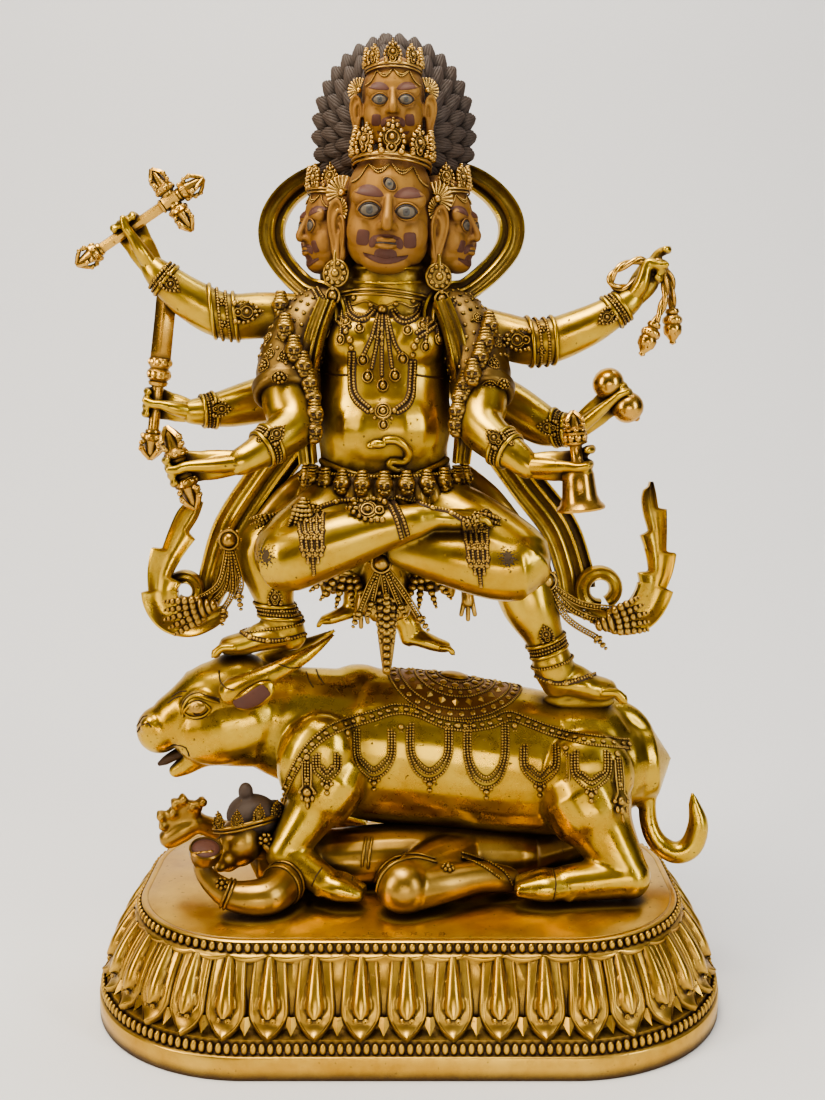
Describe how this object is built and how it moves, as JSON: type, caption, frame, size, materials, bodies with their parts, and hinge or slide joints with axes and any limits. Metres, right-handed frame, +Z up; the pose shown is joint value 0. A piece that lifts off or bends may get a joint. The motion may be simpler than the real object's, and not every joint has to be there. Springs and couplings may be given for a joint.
{
  "type": "gilded dharma protector statue",
  "caption": "Gilt bronze many-armed protector figure standing on a lying buffalo and a prone figure, over an oval lotus pedestal.",
  "frame": {"origin": "centre of the pedestal's underside, on the surface it stands on", "axes": "+Z up, the figure faces -Y, +X to the viewer's right"},
  "size_m": [0.3832, 0.242, 0.5833],
  "materials": {
    "pedestal_gilt": "worn polished gilding over cast bronze, dark in the grooves",
    "gilt_bronze": "polished mercury gilding with dark brown patina in the recesses",
    "dark_gilt": "darker, less polished gilding with brown patina",
    "implement_gilt": "chased gilding, brown in the grooves",
    "painted_hair": "matte red-brown mineral paint over cast bronze"
  },
  "bodies": {
    "root": {"lotus_base": "pedestal_gilt", "prone_figure": "dark_gilt", "buffalo": "gilt_bronze", "protector_figure": "gilt_bronze", "crossed_vajra_staff": "implement_gilt", "sword": "implement_gilt", "vajra": "implement_gilt", "noose": "implement_gilt", "lobed_fruit": "implement_gilt", "bell": "implement_gilt"}
  },
  "joints": []
}
